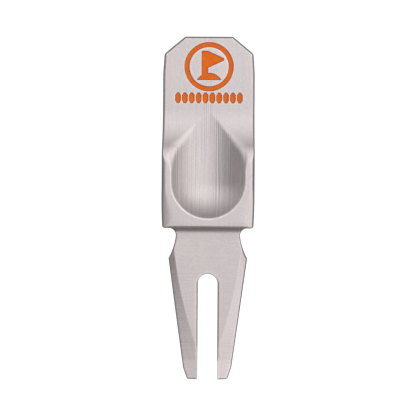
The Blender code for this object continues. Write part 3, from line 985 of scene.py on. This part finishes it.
def metal_material():
    """Milled and lightly blasted aluminium: fine tracks along the body, crossways tracks on the fork."""
    material, n, shader = new_material("milled_aluminium")
    place = n.add("ShaderNodeTexCoord").outputs["Object"]
    parts = n.add("ShaderNodeSeparateXYZ")
    n.link(place, parts.inputs[0])
    on_fork = n.span(parts.outputs["Y"], FORK_TRACKS_FULL_Y * MM, FORK_TRACKS_FROM_Y * MM, 1.0, 0.0)
    along = n.noise(n.scaled(place, (9000, 160, 1500)), 1.0, 4.0)
    across = n.noise(n.scaled(place, (200, 8000, 1500)), 1.0, 4.0)
    tracks = n.add("ShaderNodeMix", data_type="FLOAT")
    n.feed(tracks.inputs[0], on_fork)
    n.feed(tracks.inputs[2], along)
    n.feed(tracks.inputs[3], across)
    tracks = tracks.outputs[0]
    scoop = n.add("ShaderNodeAttribute", attribute_name="in_scoop").outputs["Fac"]
    streaks = n.noise(n.scaled(place, (4300, 34, 34)), 1.0, 2.0, 0.6)
    turns = n.math("MULTIPLY", parts.outputs["X"], 2 * pi / (SCALLOP_PITCH * MM))
    scallops = n.math("MULTIPLY", n.math("SINE", turns), SCALLOP_SHARE)
    bands = n.noise(n.scaled(place, (700, 22, 22)), 1.0, 1.0)
    scratches = n.noise(n.scaled(place, (55, 5600, 55)), 1.0, 2.0, 0.6)
    grain = n.noise(n.scaled(place, (11000, 11000, 11000)), 1.0, 2.0)
    speckle = n.noise(n.scaled(place, (3400, 2600, 3400)), 1.0, 2.0, 0.7)
    cloud = n.noise(n.scaled(place, (130, 60, 130)), 1.0, 3.0)
    wear_and_highlight = n.add("ShaderNodeAttribute", attribute_name="edge_wear_and_highlight").outputs["Fac"]
    patchy = n.noise(n.scaled(place, (900, 900, 900)), 1.0, 3.0)
    worn_and_highlit = n.math("MULTIPLY", wear_and_highlight, n.span(patchy, 0.35, 0.65, 0.6, 1.0), True)
    base = n.colour_mix(n.span(cloud, 0.3, 0.7, 0.0, 1.0), METAL_COLOUR, METAL_COOL)
    on_body = n.math("SUBTRACT", 1.0, on_fork)
    streak_depth = n.math("ADD", n.math("MULTIPLY", scoop, 0.7), 0.3)
    streak_depth = n.math("MULTIPLY", streak_depth, on_body)
    streak_depth = n.math("MULTIPLY", streak_depth, n.span(bands, 0.35, 0.65, 0.3, 1.5))
    streak = n.math("ADD", n.math("SUBTRACT", streaks, 0.5), n.math("MULTIPLY", scallops, scoop))
    streak = n.math("MULTIPLY", streak, streak_depth)
    scratch = n.math("MULTIPLY", n.math("SUBTRACT", scratches, 0.5), n.math("MULTIPLY", on_fork, 0.42))
    marks = n.math("ADD", streak, scratch)
    tint = n.span(tracks, 0.25, 0.75, 0.965, 1.02)
    tint = n.math("ADD", tint, n.math("MULTIPLY", marks, STREAK_TINT))
    tint = n.math("ADD", tint, n.math("MULTIPLY", n.math("SUBTRACT", speckle, 0.5), SPECKLE_TINT))
    # Painted light: the tip facets are painted lighter than the bevels beside them, standing in for the
    # light that they catch.
    facet_painted_light_mask = n.span(parts.outputs["Y"], (TIP_FACET_Y - 0.05) * MM, (TIP_FACET_Y + 0.05) * MM, 1.0, 0.0)
    tint = n.math("ADD", tint, n.math("MULTIPLY", facet_painted_light_mask, FACET_PAINTED_LIGHT))
    shade = n.add("ShaderNodeVectorMath", operation="SCALE")
    n.link(base, shade.inputs[0])
    n.link(tint, shade.inputs["Scale"])
    # Painted highlight as well as wear: the convex edges take a much lighter colour.
    colour = n.colour_mix(worn_and_highlit, shade.outputs[0], METAL_WEAR_AND_HIGHLIGHT)
    n.link(colour, shader.inputs["Base Color"])
    shader.inputs["Metallic"].default_value = 1.0
    rough = n.math("ADD", n.span(tracks, 0.2, 0.8, 0.30, 0.40), n.span(cloud, 0.3, 0.7, -0.02, 0.02))
    rough = n.math("SUBTRACT", rough, n.math("MULTIPLY", worn_and_highlit, 0.08))
    n.link(rough, shader.inputs["Roughness"])
    fine = n.add("ShaderNodeBump")
    fine.inputs["Strength"].default_value = 0.25
    fine.inputs["Distance"].default_value = 0.000012
    n.link(n.math("ADD", tracks, n.math("MULTIPLY", grain, 0.5)), fine.inputs["Height"])
    coarse = n.add("ShaderNodeBump")
    coarse.inputs["Strength"].default_value = 1.0
    coarse.inputs["Distance"].default_value = STREAK_DEPTH
    n.link(n.math("ADD", marks, n.math("MULTIPLY", speckle, SPECKLE_DEPTH)), coarse.inputs["Height"])
    n.link(fine.outputs[0], coarse.inputs["Normal"])
    n.link(coarse.outputs[0], shader.inputs["Normal"])
    return material


def paint_material():
    """Orange enamel with a slightly uneven skin, and painted shade that darkens it against the walls of
    its groove.
    """
    material, n, shader = new_material("orange_enamel")
    place = n.add("ShaderNodeTexCoord").outputs["Object"]
    cloud = n.noise(n.scaled(place, (700, 700, 700)), 1.0, 3.0)
    speck = n.noise(n.scaled(place, (6000, 6000, 6000)), 1.0, 2.0)
    base = n.colour_mix(n.span(cloud, 0.3, 0.7, 0.0, 1.0), PAINT_DEEP, PAINT_BRIGHT)
    parts = n.add("ShaderNodeSeparateXYZ")
    n.link(place, parts.inputs[0])
    high = (HEAD_Z - PAINT_RECESS) * MM
    # Painted shade: the paint's colour darkens toward its top edge, where it meets the groove's walls.
    rim = n.span(parts.outputs["Z"], high - 0.00014, high, 0.0, 0.7)
    colour = n.colour_mix(rim, base, PAINT_WALL_SHADE)
    n.link(colour, shader.inputs["Base Color"])
    n.link(n.span(cloud, 0.3, 0.7, 0.34, 0.5), shader.inputs["Roughness"])
    shader.inputs["Specular IOR Level"].default_value = 0.1
    bump = n.add("ShaderNodeBump")
    bump.inputs["Strength"].default_value = 0.4
    bump.inputs["Distance"].default_value = 0.00002
    n.link(n.math("ADD", cloud, n.math("MULTIPLY", speck, 0.3)), bump.inputs["Height"])
    n.link(bump.outputs[0], shader.inputs["Normal"])
    return material


def floor_material():
    """A table that the camera sees plain white, and that reflections and light see pale grey."""
    material, n, shader = new_material("pale_table")
    place = n.add("ShaderNodeTexCoord").outputs["Object"]
    cloud = n.noise(n.scaled(place, (6, 6, 6)), 1.0, 2.0)
    colour = n.colour_mix(n.span(cloud, 0.3, 0.7, 0.0, 1.0), FLOOR_DARK, FLOOR_LIGHT)
    n.link(colour, shader.inputs["Base Color"])
    shader.inputs["Roughness"].default_value = 0.9
    shader.inputs["Specular IOR Level"].default_value = 0.0
    shader.inputs["Emission Color"].default_value = (1.0, 1.0, 1.0, 1.0)
    seen = n.add("ShaderNodeLightPath").outputs["Is Camera Ray"]
    n.link(n.math("MULTIPLY", seen, FLOOR_GLOW), shader.inputs["Emission Strength"])
    return material


# ---------------------------------------------------------------- pieces


def shown(name, mesh, material, node):
    piece = bpy.data.objects.new(name, mesh)
    bpy.context.scene.collection.objects.link(piece)
    mesh.materials.append(material)
    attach(piece, "root")
    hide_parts(node)
    return piece


def make_pieces():
    metal = metal_material()
    body = build_body()
    body.shade_smooth()
    body.set_sharp_from_angle(angle=radians(42))
    wear_and_highlight_attribute(body)
    scoop_attribute(body)
    shown("milled_body_finished", body, metal, "milled_body")
    paint = paint_material()
    for node, outer, inner in pockets():
        mesh = build_paint(outer, inner).mesh(f"{node}_fill")
        mesh.shade_smooth()
        mesh.set_sharp_from_angle(angle=radians(50))
        shown(f"{node}_fill", mesh, paint, node)


# ---------------------------------------------------------------- stage, light and camera

# Soft light from the whole sky: (toward x, toward y, upward, how tight, how strong)
SKY_BASE = 0.13
SKY_LOBES = (
    (0.0, 0.0, 1.0, 1.7, 2.25),
    (0.63, -0.59, 0.51, 5.0, 2.1),
    (0.56, 0.43, 0.71, 6.1, 0.9),
    (-0.58, -0.46, 0.68, 9.2, 1.6),
    (-0.65, -0.22, 0.72, 9.9, -1.65),
    (0.34, -0.42, 0.84, 2.0, -1.95),
    (0.0, -1.0, 0.7, 14.0, -0.27),
    (-0.05, -0.38, 0.92, 36.0, 0.16),
    (-0.46, -0.42, 0.79, 60.0, 0.11),
    (-0.47, -0.08, 0.88, 60.0, -0.07),
    (0.4, -0.45, 0.8, 50.0, 0.03),
    (-0.5, 0.5, 0.7, 9.0, 0.13),
    (-0.02, 0.12, 0.99, 120.0, -0.07),
)
CAMERA_HEIGHT = 242.6
CAMERA_X = 3.0
CAMERA_Y = 0.27
CAMERA_LENS = 89.03
CAMERA_ROLL = 0.4
CAMERA_AIM_X = -0.01


def make_floor():
    bm = bmesh.new()
    size = 1.6
    steps = 40
    rows = []
    for j in range(steps + 1):
        row = []
        for i in range(steps + 1):
            row.append(bm.verts.new((size * (i / steps - 0.5), size * (j / steps - 0.5), 0.0)))
        rows.append(row)
    for low, up in zip(rows, rows[1:]):
        for i in range(steps):
            bm.faces.new((low[i], low[i + 1], up[i + 1], up[i]))
    mesh = bpy.data.meshes.new("table")
    bm.to_mesh(mesh)
    bm.free()
    floor = bpy.data.objects.new("table", mesh)
    bpy.context.scene.collection.objects.link(floor)
    mesh.materials.append(floor_material())


def make_sky():
    """Soft glows over a dim sky, for reflections and light. The camera sees plain white in their place."""
    world = bpy.data.worlds.new("studio")
    bpy.context.scene.world = world
    world.use_nodes = True
    world.node_tree.nodes.clear()
    n = Nodes(world.node_tree)
    way = n.add("ShaderNodeTexCoord").outputs["Generated"]
    total = SKY_BASE
    for x, y, z, tight, strength in SKY_LOBES:
        toward = Vector((x, y, z)).normalized()
        dot = n.add("ShaderNodeVectorMath", operation="DOT_PRODUCT")
        n.link(way, dot.inputs[0])
        dot.inputs[1].default_value = toward
        power = n.math("MULTIPLY", n.math("SUBTRACT", dot.outputs["Value"], 1.0), tight)
        glow = n.math("MULTIPLY", n.math("EXPONENT", power), strength)
        total = n.math("ADD", glow, total)
    total = n.math("MAXIMUM", total, 0.02)
    seen = n.add("ShaderNodeLightPath").outputs["Is Camera Ray"]
    total = n.math("MULTIPLY", total, n.math("SUBTRACT", 1.0, seen))
    total = n.math("ADD", total, n.math("MULTIPLY", seen, BACKDROP))
    shade = n.add("ShaderNodeBackground")
    n.link(total, shade.inputs["Strength"])
    output = n.add("ShaderNodeOutputWorld")
    n.link(shade.outputs[0], output.inputs["Surface"])


def make_camera():
    data = bpy.data.cameras.new("camera")
    camera = bpy.data.objects.new("camera", data)
    bpy.context.scene.collection.objects.link(camera)
    camera.location = (CAMERA_X * MM, CAMERA_Y * MM, CAMERA_HEIGHT * MM)
    lean = atan2(CAMERA_X - CAMERA_AIM_X, CAMERA_HEIGHT - HEAD_Z)
    camera.rotation_euler = (0.0, lean, radians(CAMERA_ROLL))
    data.lens = CAMERA_LENS
    data.sensor_width = 36.0
    data.clip_start = 0.01
    data.clip_end = 10.0
    bpy.context.scene.camera = camera


make_pieces()
make_floor()
make_sky()
make_camera()
bpy.context.scene.view_settings.view_transform = "Standard"
